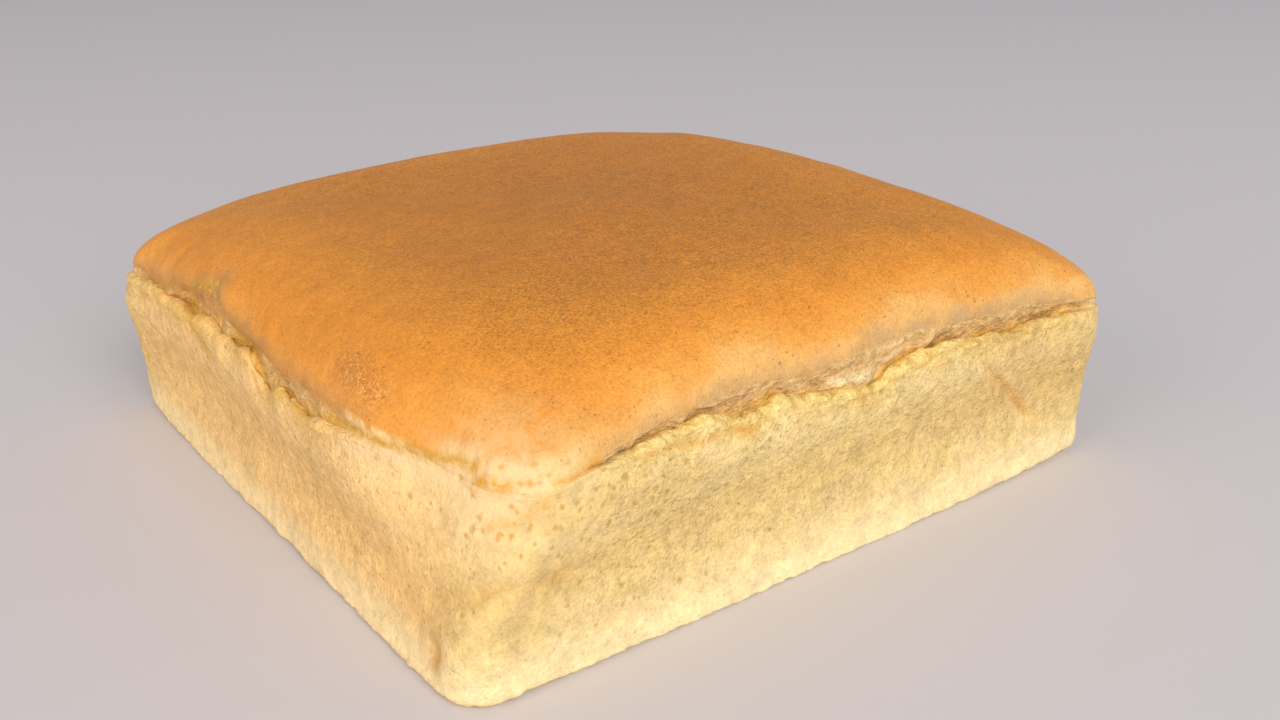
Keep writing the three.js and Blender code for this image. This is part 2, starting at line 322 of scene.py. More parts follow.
def middleness(x, y):
    """1 halfway along a side, 0 at a corner."""
    along = np.minimum(np.abs(x), np.abs(y)) / HALF
    return 1 - np.minimum(along, 1) ** CORNER_SHARPNESS


def left_quarter(x, y):
    """1 along the left side, 0 along the others."""
    return ease((y - x) / WAIST_TURN) * ease(-(x + y) / WAIST_TURN)


def crack_openness(x, y):
    closed = np.minimum(sum_of_spots(CLOSED_SPOTS, x, y), 1)
    return ease(middleness(x, y) * CRACK_SPREAD) * (1 - closed)


def rim_level(x, y):
    return mix(RIM_CORNER, RIM_MIDDLE, middleness(x, y))


def notches(x, y):
    """Narrow nicks where the rim tore."""
    return NOTCH_DEPTH * bell(edge_grain(x, y, NOTCHES, -HALF) / NOTCH_WIDTH)


def even_rim_height(x, y):
    waves = sum_of_waves(RIM_WAVES, x, y) * crack_openness(x, y)
    return rim_level(x, y) + sum_of_spots(RIM_SPOTS, x, y) + waves


def rim_raggedness(x, y):
    ragged = edge_grain(x, y, RIM_GRAIN) - notches(x, y)
    return ragged * crack_openness(x, y) * mix(1, LEFT_RAGGEDNESS, left_quarter(x, y))


def rim_height(x, y):
    return even_rim_height(x, y) + rim_raggedness(x, y)


def rim_round(x, y):
    return mix(RIM_ROUND_CLOSED, RIM_ROUND_OPEN, crack_openness(x, y))


def lip_level(x, y):
    return rim_level(x, y) + mix(BAND_CORNER, BAND_MIDDLE, crack_openness(x, y))


def lip_height(x, y):
    uneven = sum_of_spots(LIP_SPOTS, x, y) + sum_of_waves(LIP_WAVES, x, y)
    uneven = uneven + edge_grain(x, y, LIP_GRAIN, SIDE)
    lip = lip_level(x, y) + uneven * crack_openness(x, y)
    return np.maximum(lip, rim_height(x, y) + BAND_LEAST)


def shoulder_width(x, y):
    return mix(SHOULDER_CORNER, SHOULDER_MIDDLE, middleness(x, y))


def rim_top_inset(x, y):
    return rim_round(x, y) - overhang(x, y, 1)


def even_lip_inset(x, y):
    even = mix(rim_top_inset(x, y), LIP_INSET, crack_openness(x, y))
    return even + sum_of_spots(LIP_INSET_SPOTS, x, y)


def lip_cut(x, y):
    """How far the crust is torn back from its even lip, where the lip is raised."""
    raised = np.maximum(lip_height(x, y) - lip_level(x, y), 0)
    share = np.minimum(raised / (dome_height(x, y) - lip_level(x, y)), CUT_LIMIT)
    return shoulder_width(x, y) * (1 - np.sqrt(1 - share**2))


def lip_inset(x, y):
    return even_lip_inset(x, y) + lip_cut(x, y)


def dome_height(x, y):
    a = (x / HALF) ** 2
    b = (y / HALF) ** 2
    back = np.maximum(y / HALF, 0) ** 2
    return DOME_TOP - DOME_FALL * (a + b) - DOME_CORNER_FALL * a * b - DOME_BACK_FALL * back


def draw_in(x, y, z):
    along_x = 1 - ease((x + HALF) / LEAN_REACH)
    along_y = 1 - ease((y + HALF) / LEAN_REACH)
    up = ease((z - LEAN_FOOT) / (LEAN_TOP - LEAN_FOOT))
    return x + LEAN * along_x * along_y * up


def overhang(x, y, share):
    bulge = sum_of_spots(BULGE_SPOTS, x, y)
    full = mix(OVERHANG_CORNER, OVERHANG_MIDDLE, middleness(x, y)) + bulge
    roll = mix(RIM_ROLL_CORNER, RIM_ROLL_MIDDLE, middleness(x, y)) + bulge
    rolled = ease((share - OVERHANG_PEAK) / (1 - OVERHANG_PEAK))
    return full * ease(share / OVERHANG_PEAK) - roll * rolled


def waist_height(x, y):
    drawn = np.exp(-2 * ((x + HALF) ** 2 + (y + HALF) ** 2) / LEAN_REACH**2)
    left_side = ease((y - x) / WAIST_TURN)
    return mix(WAIST_HEIGHT, WAIST_HEIGHT_DRAWN, left_side * drawn)


def waist_inset(x, y, height):
    away = (height - waist_height(x, y)) / WAIST_SPREAD
    return WAIST_DEPTH * np.sqrt(middleness(x, y)) * bell(away)


def crack_inset(x, y):
    uneven = sum_of_spots(CRACK_SPOTS, x, y) + edge_grain(x, y, CRACK_GRAIN, -SIDE)
    closed = (rim_top_inset(x, y) + lip_inset(x, y)) / 2
    open_inset = mix(CRACK_INSET, CRACK_INSET_LEFT, left_quarter(x, y)) + uneven
    return mix(closed, open_inset, crack_openness(x, y))


def crack_height(x, y):
    """The bottom of the crack. Where the crack is closed it is a step up to the lip."""
    uneven = edge_grain(x, y, DROP_GRAIN, HALF)
    depth = mix(CRACK_DEPTH, CRACK_DEPTH_LEFT, left_quarter(x, y))
    fall = depth * np.maximum(1 + uneven, CRACK_LEAST)
    rise = CLOSED_RISE * (lip_height(x, y) - rim_height(x, y))
    return rim_height(x, y) + mix(rise, -fall, crack_openness(x, y))


def crust_radius(run):
    shoulder = min(run / SHOULDER_MIDDLE, 1)
    crest = ease((run - SHOULDER_MIDDLE) / (HALF - SHOULDER_MIDDLE))
    return mix(RIM_RADIUS, mix(SHOULDER_RADIUS, CREST_RADIUS, crest), shoulder)


def edge_round(x, y):
    even = mix(EDGE_ROUND_CORNER, EDGE_ROUND_MIDDLE, middleness(x, y))
    return even + sum_of_spots(EDGE_SPOTS, x, y)


# Stations: the inset and the height of a row over points of the outline. The first value says
# which row it is of its kind.


def flat_station(inset, x, y):
    return inset + 0 * x, 0 * x


def foot_station(share, x, y):
    """The rounded edge that meets the table."""
    angle = share * np.pi / 2
    size = edge_round(x, y)
    return size * (1 - np.sin(angle)), size * EDGE_ROUND_RISE * (1 - np.cos(angle))


def wall_station(share, x, y):
    low = edge_round(x, y) * EDGE_ROUND_RISE
    height = mix(low, even_rim_height(x, y) - rim_round(x, y), share)
    return waist_inset(x, y, height) - overhang(x, y, share), height


def round_station(share, x, y):
    """The rounded top edge of the wall."""
    angle = share * np.pi / 2
    radius = rim_round(x, y)
    inset = radius * (1 - np.cos(angle)) - overhang(x, y, 1)
    height = even_rim_height(x, y) - radius * (1 - np.sin(angle))
    return inset, height + rim_raggedness(x, y) * share**2


def slope_station(share, x, y):
    """The rim's inner slope, down to the bottom of the crack."""
    inset = mix(rim_top_inset(x, y), crack_inset(x, y), share)
    return inset, mix(rim_height(x, y), crack_height(x, y), share**SLOPE_CURVE)


def band_station(share, x, y):
    inset = mix(crack_inset(x, y), lip_inset(x, y), ease(share))
    return inset, mix(crack_height(x, y), lip_height(x, y), share)


def crust_station(run, x, y):
    local_run = mix(lip_cut(x, y), HALF, run / HALF)
    share = 1 - local_run / HALF
    rise = np.sqrt(1 - (1 - np.minimum(local_run / shoulder_width(x, y), 1)) ** 2)
    sunk = np.minimum(lip_height(x, y) - lip_level(x, y), 0) * np.exp(-run / LIP_FADE)
    dome = dome_height(x * share, y * share)
    inset = local_run + even_lip_inset(x, y) * share
    return inset, mix(lip_level(x, y), dome, rise) + sunk


UNDERSIDE, WALL, RIM, BAND, CRUST = range(5)


class Skin:
    """Rings of points, each joined by triangles to the ring before it.

    Every point keeps its zone, its share of that zone and the place on the outline it stands
    over.
    """

    def __init__(self):
        self.points = []
        self.zones = []
        self.shares = []
        self.outlines = []
        self.triangles = []
        self.size = 0
        self.last = None

    def add_ring(self, points, outline, zone, share):
        first = self.size
        count = len(points)
        self.points.append(points)
        self.outlines.append(outline)
        self.zones.append(np.full(count, zone))
        self.shares.append(np.full(count, float(share)))
        self.size += count
        if self.last:
            self.join(self.last, (first, count))
        self.last = (first, count)

    def add_station(self, corner_radius, station, row, zone, share, steps=SIDE_STEPS):
        t = np.arange(4 * steps) / steps
        x, y = rounded_square(t, HALF, FOOT_RADIUS)
        inset, height = station(row, x, y)
        place_x, place_y = rounded_square(t, HALF - inset, np.maximum(corner_radius - inset, 1))
        height = np.broadcast_to(height, t.shape)
        points = np.stack([draw_in(place_x, place_y, height), place_y, height], axis=1)
        self.add_ring(points, np.stack([x, y], axis=1), zone, share)

    def join(self, lower, upper):
        """Walks round both rings at once, whatever their numbers of points are."""
        low, low_count = lower
        high, high_count = upper
        i = np.arange(low_count)
        j = ((i + 1) * high_count - 1) // low_count
        along_low = [low + i, low + (i + 1) % low_count, high + j % high_count]
        j = np.arange(high_count)
        i = (j + 1) * low_count // high_count
        along_high = [low + i % low_count, high + (j + 1) % high_count, high + j]
        self.triangles.append(np.stack(along_low, axis=1))
        if high_count > 1:
            self.triangles.append(np.stack(along_high, axis=1))

    def close(self):
        for name in ("points", "zones", "shares", "outlines", "triangles"):
            setattr(self, name, np.concatenate(getattr(self, name)))

    def spread(self, faces):
        """Adds up at each point the vectors of the triangles round it, as a unit vector."""
        total = np.zeros_like(self.points)
        for k in range(3):
            for axis in range(3):
                total[:, axis] += np.bincount(self.triangles[:, k], faces[:, axis], self.size)
        return total / np.linalg.norm(total, axis=1, keepdims=True)

    def normals(self):
        """The directions away from the form, evened out so that relief doesn't fold over."""
        a, b, c = (self.points[self.triangles[:, k]] for k in range(3))
        normals = self.spread(np.cross(b - a, c - a))
        for _ in range(NORMAL_ROUNDS):
            normals = self.spread(normals[self.triangles].sum(axis=1))
        return normals


def add_underside(skin):
    corners = np.array([[-1, -1], [1, -1], [1, 1], [-1, 1]]) * PLINTH
    plinth = np.column_stack([corners, np.zeros(4)])
    skin.add_ring(plinth, corners, UNDERSIDE, 0)
    skin.triangles.append(np.array([[0, 2, 1], [0, 3, 2]]))
    for steps, inset in UNDERSIDE_ROWS:
        skin.add_station(FOOT_RADIUS, flat_station, inset, UNDERSIDE, 0, steps)
    skin.add_station(FOOT_RADIUS, foot_station, 0, UNDERSIDE, 1)


def add_wall(skin):
    for i in range(1, EDGE_ROWS):
        skin.add_station(FOOT_RADIUS, foot_station, i / EDGE_ROWS, WALL, 0)
    for i in range(WALL_ROWS):
        share = 1 - (1 - i / (WALL_ROWS - 1)) ** WALL_CROWDING
        radius = mix(FOOT_RADIUS, RIM_RADIUS, share)
        skin.add_station(radius, wall_station, share, WALL, share)


def add_tear(skin):
    for i in range(1, ROUND_ROWS + 1):
        share = i / ROUND_ROWS
        skin.add_station(RIM_RADIUS, round_station, share, RIM, share / 2)
    for i in range(1, SLOPE_ROWS + 1):
        share = i / SLOPE_ROWS
        skin.add_station(RIM_RADIUS, slope_station, share, RIM, (1 + share) / 2)
    for i in range(1, BAND_ROWS + 1):
        share = i / (BAND_ROWS + 1)
        skin.add_station(RIM_RADIUS, band_station, share, BAND, share)


def add_crust(skin):
    steps = SIDE_STEPS
    for i in range(CRUST_ROWS):
        run = HALF * (i / CRUST_ROWS) ** CRUST_SPACING_POWER
        next_run = HALF * ((i + 1) / CRUST_ROWS) ** CRUST_SPACING_POWER
        wanted = int(np.ceil(2 * (HALF - run) / max(next_run - run, SIDE / SIDE_STEPS)))
        steps = max(min(wanted, steps), int(np.ceil(steps * CRUST_THINNING)), 2)
        steps = min(steps, SIDE_STEPS)
        radius = crust_radius(run) + run
        skin.add_station(radius, crust_station, run, CRUST, run / HALF, steps)
    top = np.array([[0, 0, DOME_TOP]])
    skin.add_ring(top, np.zeros((1, 2)), CRUST, 1)


def make_skin():
    skin = Skin()
    add_underside(skin)
    add_wall(skin)
    add_tear(skin)
    add_crust(skin)
    skin.close()
    return skin


# Relief.

Hollow = namedtuple("Hollow", "place reach depth")
Fold = namedtuple("Fold", "path width depth")

# Thin crevices that are both sunk and golden, under the rim of the near side.
CREVICE_PATH = [(-55, -98.3, 45), (-50, -98.8, 44.3), (-40, -98.4, 43.6), (-32, -98.4, 43.2)]
CREVICE_END = [(-30, -98.4, 42.6), (-24, -98.3, 41.6)]

# Pockets under the lip and lumps of crumb, with a depth below 0, in the torn part of the left
# side and round the drawn-in corner.
HOLLOWS = [
    Hollow((-94.5, 7, 46), 4.5, 1.8),
    Hollow((-95, -4, 47), 4, 1.5),
    Hollow((-95.5, -12, 45), 3.5, 1.4),
    Hollow((-94, -22, 43), 4, 1.2),
    Hollow((-92, 38.5, 42.5), 3, 1.2),
    Hollow((-95, 60, 45), 5, -1.4),
    Hollow((-95, 46, 46), 4.5, 1.3),
    Hollow((-97, 33, 44), 4, -1.4),
    Hollow((-97, 24, 43), 3, -1),
    Hollow((-98, 17, 42), 4, -1.2),
    Hollow((-97, -18, 42), 4, -1),
    Hollow((-96, -84, 8), 2.6, 1.6),
    Hollow((-83, -93, 48), 5, -0.7),
    Hollow((-78, -96, 50), 4, -0.6),
    Hollow((-89, -86, 40), 6, -0.8),
]
FOLDS = [
    Fold([(52, -98, 35), (58, -97.2, 29), (66.5, -96.5, 22.3), (72, -96.9, 16.8)], 1.4, 1.1),
    Fold([(-70, -97.4, 9), (-41, -97.4, 8), (5, -97.4, 6), (57, -97.4, 6.5)], 1.3, 0.3),
    Fold([(-94, -79, 20), (-93, -92, 23), (-88, -97, 26), (-73, -97.5, 24.5)], 1.8, 0.8),
    Fold([(-90, -89, 34), (-85, -96, 36), (-76, -100, 38.5)], 1.5, 0.6),
    Fold(CREVICE_PATH, 0.9, 0.5),
    Fold(CREVICE_END, 1.2, 0.5),
]
# Where crumb and crust are golden, along the near corner, in the crevices and in the left tear.
RIM_PATH = [(-96, -43.2, 46.1), (-94.6, -54.8, 46.1), (-92.3, -63.8, 45.9), (-90.7, -68.2, 46.4)]
GOLD = [
    Fold(RIM_PATH + [(-87.7, -76.5, 46.4), (-86.2, -80.7, 47.3), (-84.8, -86.1, 47.3)], 1.4, 1),
    Fold([(-84.8, -86.1, 47), (-84.8, -88.2, 45.1), (-82.7, -92.8, 45.5)], 1.8, 1),
    Fold([(-74.8, -98.8, 46), (-67.8, -98, 46.4), (-64.7, -97.6, 47.1)], 1.3, 0.9),
    Fold([(-73.7, -99.2, 44.8), (-80.1, -97.9, 41), (-83.3, -96, 39.1), (-86.3, -92.4, 37.7)], 1.2, 0.5),
    Fold(CREVICE_PATH, 1, 0.4),
    Fold(CREVICE_END, 1.3, 0.7),
    Fold([(-95.2, 46.7, 44.5), (-97, 34.1, 45), (-98.2, 27.8, 39.1)], 3.2, 0.75),
    Fold([(-97, 36, 45), (-95.5, 30.7, 45.7)], 1.6, 1),
    Fold([(-96.1, 12.5, 47.1), (-96.1, 3.6, 48), (-96.3, -3, 47.8)], 1.3, 0.8),
    Fold([(-97.8, -16.5, 42.5), (-96.6, -23.7, 43.7)], 1.2, 1),
    Fold([(-97.1, -26.9, 42.7), (-96.9, -34.5, 42.5)], 1.3, 0.9),
    Fold([(-96.2, -38, 46), (-96.2, -41, 45.6)], 1.2, 0.9),
    Fold([(-95.8, 78.4, 43.9), (-96.2, 62.9, 46.8), (-96.1, 45.8, 50)], 1.5, 0.6),
    Fold([(-96.1, 45.8, 50), (-95.6, 34.4, 53.6), (-94.2, 28, 55.8), (-93.8, 25.6, 55.6)], 1.5, 0.8),
]
# Where the crumb is browner, in the fold near the right end and in the torn left side: partly its own
# colour, partly painted shade in the fold and under the lip.
BROWN_AND_SHADE_LINES = [
    Fold([(63.5, -96.8, 24.3), (67, -96.5, 22), (70.5, -96.7, 18)], 0.9, 1),
    Fold([(62, -98, 36), (80, -98, 30)], 14, 0.4),
    Fold([(-90, -95, 25.5), (-80, -97.5, 24.5), (-72, -97.5, 24.5)], 1.5, 0.5),
    Fold([(-96.5, -86, 10), (-96.5, -84, 6)], 2.2, 0.8),
    Fold([(-96.2, -16.3, 48.9), (-96.2, -20.8, 46.2)], 1.6, 0.8),
    Fold([(-96.2, 2, 48), (-96.2, -5, 47.4)], 1.8, 0.8),
    Fold([(-94.9, 40, 50.5), (-95.3, 32, 53), (-95, 22, 54.5)], 4.5, 0.8),
]
# Painted shade on the crumb under the rim, as dark as at the waist.
UNDER_RIM_SHADE = [
    Fold([(-77, -98.5, 39), (-65, -98.7, 38), (-56, -98.5, 37), (-40, -98.3, 36)], 5.5, 0.95),
    Fold([(-92, -84, 26), (-86, -95, 27), (-76, -98.5, 29)], 6, 0.6),
]
# A patch of crust with fine light cracks.
CRACKLED = [Fold([(-92, -45, 57.5), (-91.5, -56, 54.5)], 4.5, 1)]
# Larger holes in the crumb: single ones, and fields of them drawn at random.
PITS = [
    (-86.3, -82.5, 44.1), (-80.3, -95.1, 46.5), (-79, -96.4, 46.3),
    (-77.9, -97.3, 46.2), (-76.1, -97.8, 47.1), (-71.7, -98.1, 49),
    (-82.7, -94.9, 41.9), (-76.8, -93.8, 50.9), (-82.1, -91.1, 48.7),
    (-77.6, -95.7, 48.9), (-92.4, -71.1, 36.9), (-91.2, -76.1, 36.4),
    (-80.9, -98.8, 37.5), (-88.6, -89.6, 35.5), (-84.2, -96.8, 36.3),
    (-75, -100.2, 37.2), (-70.9, -99.9, 41.1), (-67.4, -99.8, 39.9),
    (-62.4, -99.4, 38.9), (-58.6, -98.9, 41.9), (-54.1, -98.9, 40.4),
    (-56.6, -98.7, 35.9), (-51.4, -98.6, 36.9), (-45.8, -97.3, 31.7),
    (-42.9, -98.6, 40.3), (-98.3, 34.7, 43.2), (-98.5, 26.8, 40),
]
PitField = namedtuple("PitField", "place reach count")
PIT_FIELDS = [
    PitField((-60, -99, 37), (18, 2, 4.5), 40),
    PitField((-86, -93, 36), (6, 6, 6), 10),
    PitField((-93, -88, 22), (3, 6, 9), 8),
    PitField((-50, -98, 20), (26, 2, 9), 16),
    PitField((-98, 36, 40), (1, 14, 4), 16),
    PitField((-98, -40, 38), (1, 22, 4), 14),
    PitField((20, -98, 32), (36, 1, 8), 26),
]
PIT_REACH = (0.6, 0.95)
SINGLE_PIT_REACH = (0.8, 1.2)
PIT_STRENGTH = (0.75, 1.1)
PIT_DEPTH = 0.2

# The drawn-in corner: a pale bulge, and a pale ridge that leads to it along the rim.
PALE_PLACE = (-84, -92, 47)
PALE_REACH = 13.5
PALE_PATH = [(-91.5, -66, 43.5), (-88.5, -76.6, 43.2), (-86.5, -84, 42), (-84.5, -92.5, 41)]
PALE_RIDGE = [Fold(PALE_PATH, 3, 1)]
RIDGE = [Fold([(-94, -56, 45), (-90, -70, 45), (-85.5, -84, 45.5), (-83.5, -91, 45)], 6, 1)]
RIDGE_PALENESS = 0.8

# Where something starts, and how much further on it is whole.
Fade = namedtuple("Fade", "start reach")
LEFT_QUIET = Fade(26, 30)
EDGE_QUIET = Fade(16, 16)
FOOT_CALM = Fade(5, 14)
FOOT_GLOW = Fade(3, 11)
FOOT_RELIEF = Fade(0, 4)
HIGH = Fade(0, 9)
FLAKE_TOP = Fade(0.3, 0.3)
DEEP_RIM = Fade(0.8, 0.2)
DEEP_BAND = Fade(0, 0.28)
UNDER_LIP = Fade(0.84, 0.1)
LIP_EDGE = Fade(0, 2)
CRUST_RELIEF = Fade(0, 5)
CORNER_COVER = Fade(2.5, 4.5)
RIDGE_COVER = Fade(0.3, 1.2)
SHADED = Fade(0.5, 4.5)
PALE_CRUST = Fade(0, 0.25)
PALE_CRUST_REACH = 45
PALE_CRUST_SHARE = 0.35
WAIST_SHADE = 10

# How much of something is kept or lost.
CLOSED_ROUGHNESS = 0.1
CLOSED_BAND_LUMPS = 0.2
LEFT_RIM_LUMPS = 0.2
LEFT_CREASE_LOSS = 0.8
BAND_CREASES = 0.5
QUIETNESS = 0.8
QUIET_LOSS = 0.7
LEFT_CALM = 0.7
FLAKE_SIZE = 0.6

# How far the random raggedness moves the edges of colours.
DEEP_RAGGED = 0.05
UNDER_LIP_RAGGED = 0.14
LIP_RAGGED = 0.5


def tree_of(points):
    tree = KDTree(len(points))
    for index, point in enumerate(points.tolist()):
        tree.insert(point, index)
    tree.balance()
    return tree


def path_distance(points, path):
    best = np.full(len(points), np.inf)
    for start, end in zip(path, path[1:]):
        start = np.array(start, float)
        step = np.array(end) - start
        along = np.clip((points - start) @ step / (step @ step), 0, 1)
        best = np.minimum(best, np.linalg.norm(points - start - along[:, None] * step, axis=1))
    return best


def strength(points, fold):
    """The depth of a fold or line at each point."""
    return fold.depth * bell(path_distance(points, fold.path) / fold.width)


def fold_relief(points):
    return -sum(strength(points, fold) for fold in FOLDS)


def lines_mask(points, lines):
    """1 along the strongest of these lines, 0 away from them."""
    return np.max([strength(points, line) for line in lines], axis=0)


def hollow_relief(points):
    total = 0
    for hollow in HOLLOWS:
        away = np.linalg.norm(points - np.array(hollow.place), axis=1) / hollow.reach
        total = total - hollow.depth * bell(away)
    return total


def pit_mask(skin):
    """1 in the middle of each larger hole, 0 away from them."""
    draw = np.random.default_rng(SEED + 2)
    places = [(place, SINGLE_PIT_REACH) for place in PITS]
    for field in PIT_FIELDS:
        drawn = draw.normal(field.place, field.reach, (field.count, 3))
        places.extend((place, PIT_REACH) for place in drawn)
    total = np.zeros(skin.size)
    tree = tree_of(skin.points)
    for place, limits in places:
        middle = tree.find(Vector(place))[0]
        reach = draw.uniform(*limits)
        depth = draw.uniform(*PIT_STRENGTH)
        for _, index, distance in tree.find_range(middle, 2 * reach):
            total[index] = max(total[index], depth * bell(distance / reach))
    return total


def crease_mask(points):
    """Thin lines between torn layers, longer along a side than up it."""
    field = face_noise.at(points * CREASE_STRETCH + 3 * SIDE, CREASE_SIZE)
    return bell(field / CREASE_WIDTH)


def fade(value, limits):
    """0 up to the start, then rising to 1."""
    return ease((value - limits.start) / limits.reach)


class Surface:
    """Where each point of the skin lies, in the terms that relief and colours are made from."""

    def __init__(self, skin):
        self.points = skin.points
        self.height = skin.points[:, 2]
        self.share = skin.shares
        self.x, self.y = skin.outlines.T
        self.inner_underside = (skin.zones == UNDERSIDE) & (skin.shares < 1)
        zones = (WALL, RIM, BAND, CRUST)
        self.wall, self.rim, self.band, self.crust = (skin.zones == zone for zone in zones)
        self.side = self.wall | self.rim | self.band
        self.open_crack = crack_openness(self.x, self.y)
        self.left = left_quarter(self.x, self.y)
        self.corner_distance = np.hypot(self.x + HALF, self.y + HALF)
        self.ragged = face_noise.sum(self.points + HALF, EDGE_GRAIN)
        self.above_lip = self.height - lip_height(self.x, self.y) + self.ragged
        self.off_foot = fade(self.height, FOOT_RELIEF)
        self.pit = pit_mask(skin)
        self.find_corner()
        self.find_tear()

    def find_corner(self):
        """The drawn-in corner, and how quiet the relief is round it."""
        away = np.linalg.norm(self.points - PALE_PLACE, axis=1) / PALE_REACH
        self.near_corner = bell(away)
        near_left = QUIETNESS * self.left * (1 - fade(self.corner_distance, LEFT_QUIET))
        near_edge = QUIETNESS * (1 - fade(self.corner_distance, EDGE_QUIET))
        self.quiet = np.max([near_left, self.near_corner, near_edge], axis=0)

    def find_tear(self):
        """The ragged rim and the torn band, with the lumps and creases in them."""
        share = self.share
        below_rim = rim_height(self.x, self.y) - self.height
        self.high = np.where(self.wall, 1 - fade(below_rim, HIGH), self.rim)
        self.rough = self.high * mix(CLOSED_ROUGHNESS, 1, self.open_crack)
        bulge = np.sqrt(np.clip(4 * share * (1 - share), 0, 1))
        self.band_middle = np.where(self.band, bulge, 0)
        self.band_lumps = face_noise.lumps(self.points * LUMP_STRETCH, BAND_LUMPS)
        in_rim = self.rough * (1 - LEFT_CREASE_LOSS * self.left)
        in_band = BAND_CREASES * self.band_middle * self.open_crack
        self.crease = crease_mask(self.points) * np.maximum(in_rim, in_band)
        marks = hollow_relief(self.points) + fold_relief(self.points)
        self.marks = np.where(self.side, marks, 0)


def rim_relief(at):
    lumps = face_noise.lumps(at.points * FLAKE_STRETCH + SIDE, RIM_LUMPS)
    pillows = face_noise.lumps(at.points * LUMP_STRETCH + 2 * SIDE, LEFT_PILLOWS)
    return at.rough * mix(lumps, LEFT_RIM_LUMPS * lumps + pillows, at.left)


def band_relief(at):
    lumps = at.band_middle * at.band_lumps * mix(1, LEFT_LUMPS, at.left)
    return lumps * mix(CLOSED_BAND_LUMPS, 1, at.open_crack)


def foot_relief(at):
    grain = face_noise.sum(at.points * FOOT_STRETCH, FOOT_GRAIN)
    return grain * (1 - at.off_foot) * (at.height < FOOT_RELIEF.reach)


def make_relief(at):
    """How far each point moves out along its normal."""
    grain = face_noise.sum(at.points, WALL_GRAIN) * at.off_foot
    relief = np.where(at.wall, grain * (1 - QUIET_LOSS * at.quiet), 0)
    relief += rim_relief(at)
    relief += band_relief(at)
    relief += at.near_corner * face_noise.lumps(at.points - SIDE, PALE_LUMPS)
    relief += at.marks - CREASE_DEPTH * at.crease - PIT_DEPTH * at.pit
    grain = face_noise.sum(at.points, CRUST_GRAIN) * fade(at.share * HALF, CRUST_RELIEF)
    relief += np.where(at.crust, grain, 0)
    relief += foot_relief(at)
    relief[at.inner_underside] = 0
    return relief


def crust_masks(at):
    """Where the brown skin lies, how brown it is, and its light and shaded edges."""
    share = at.share
    near_edge = 1 - fade(share, PALE_CRUST)
    near_side = bell(at.corner_distance / PALE_CRUST_REACH) * near_edge
    browning = share * mix(1, PALE_CRUST_SHARE, near_side)
    browning += LEFT_BROWNING * at.left * near_edge
    ridge = lines_mask(at.points, RIDGE)
    above_ridge = fade(at.above_lip, RIDGE_COVER)
    covered = mix(1, fade(at.above_lip, CORNER_COVER), ease(at.near_corner * 2))
    covered = np.minimum(covered, mix(1, above_ridge, ease(2 * ridge)))
    under_lip = fade(share + UNDER_LIP_RAGGED * at.ragged, UNDER_LIP)
    edge = 1 - fade(share * HALF + LIP_RAGGED * at.ragged, LIP_EDGE)
    shaded = 1 - fade(at.above_lip, SHADED)
    pale_line = lines_mask(at.points, PALE_RIDGE) * at.side
    pale_ridge = RIDGE_PALENESS * ridge * (1 - above_ridge)
    return {
        "crust": np.where(at.crust, covered, np.where(at.band, under_lip * covered, 0)),
        "run": np.where(at.crust, browning, 0),
        "lip": np.where(at.crust, edge, at.band) * at.open_crack,
        "shaded": np.where(at.crust, shaded, at.band) * at.open_crack,
        "torn": np.where(at.band, 1 - under_lip, 0) * np.sqrt(at.open_crack),
        "pale": np.max([at.near_corner, pale_line, pale_ridge], axis=0),
        "crackled": lines_mask(at.points, CRACKLED),
    }


def crumb_masks(at):
    """Where the crumb of the sides gets painted bounce light at the foot and painted shade at the waist,
    and where it is yellow at the rim, torn or calm.
    """
    above_waist = (at.height - waist_height(at.x, at.y)) / WAIST_SHADE
    deep_rim = np.where(at.rim, fade(at.share, DEEP_RIM), 0)
    deep_band = 1 - fade(at.share + DEEP_RAGGED * at.ragged, DEEP_BAND)
    calm = [1 - fade(at.height, FOOT_CALM), at.quiet, LEFT_CALM * at.left * at.rough]
    flaky = np.minimum(sum_of_spots(FLAKE_SPOTS, at.x, at.y), 1)
    flaky = flaky * (1 - fade(at.share, FLAKE_TOP))
    return {
        "left": at.left,
        "open": at.open_crack,
        "high": at.high,
        # Painted shade along the sunk waist of the sides.
        "waist": bell(above_waist),
        # Painted bounce light from the floor, paler crumb along the foot.
        "foot": 1 - fade(at.height, FOOT_GLOW),
        "crevice": np.where(at.band, deep_band, deep_rim) * at.open_crack,
        "calm": np.max(calm, axis=0),
        "flake": ease(at.band_lumps + FLAKE_SIZE) * flaky * at.band,
    }


def make_masks(at):
    """The masks that colour the cake."""
    masks = crust_masks(at) | crumb_masks(at)
    # Painted shade under the rim joins the painted shade of the waist.
    rim_shade = lines_mask(at.points, UNDER_RIM_SHADE)
    masks["waist"] = np.maximum(masks["waist"], rim_shade) * at.side
    masks["pale"] = masks["pale"] * (1 - rim_shade)
    masks["brown"] = lines_mask(at.points, BROWN_AND_SHADE_LINES) * at.side
    masks["gold"] = lines_mask(at.points, GOLD)
    # Painted shade in the sunk folds and hollows of the sides, darker where they are deeper.
    masks["recess_shade"] = np.clip(-at.marks, 0, 1)
    masks["crease"] = at.crease
    masks["pit"] = at.pit
    return masks


def centre_in_frame(points):
    """Sets the form where the solid stands."""
    low, high = (np.array(corner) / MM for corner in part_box("sponge_cake"))
    shift = (low + high) / 2 - (points.min(axis=0) + points.max(axis=0)) / 2
    return points + [shift[0], shift[1], 0]


def make_object(name, points, triangles):
    mesh = bpy.data.meshes.new(name)
    mesh.vertices.add(len(points))
    mesh.vertices.foreach_set("co", (points * MM).ravel())
    mesh.loops.add(triangles.size)
    mesh.loops.foreach_set("vertex_index", triangles.ravel())
    mesh.polygons.add(len(triangles))
    mesh.polygons.foreach_set("loop_start", np.arange(0, triangles.size, 3))
    mesh.polygons.foreach_set("use_smooth", np.ones(len(triangles), bool))
    mesh.update(calc_edges=True)
    mesh.validate()
    piece = bpy.data.objects.new(name, mesh)
    bpy.context.collection.objects.link(piece)
    return piece


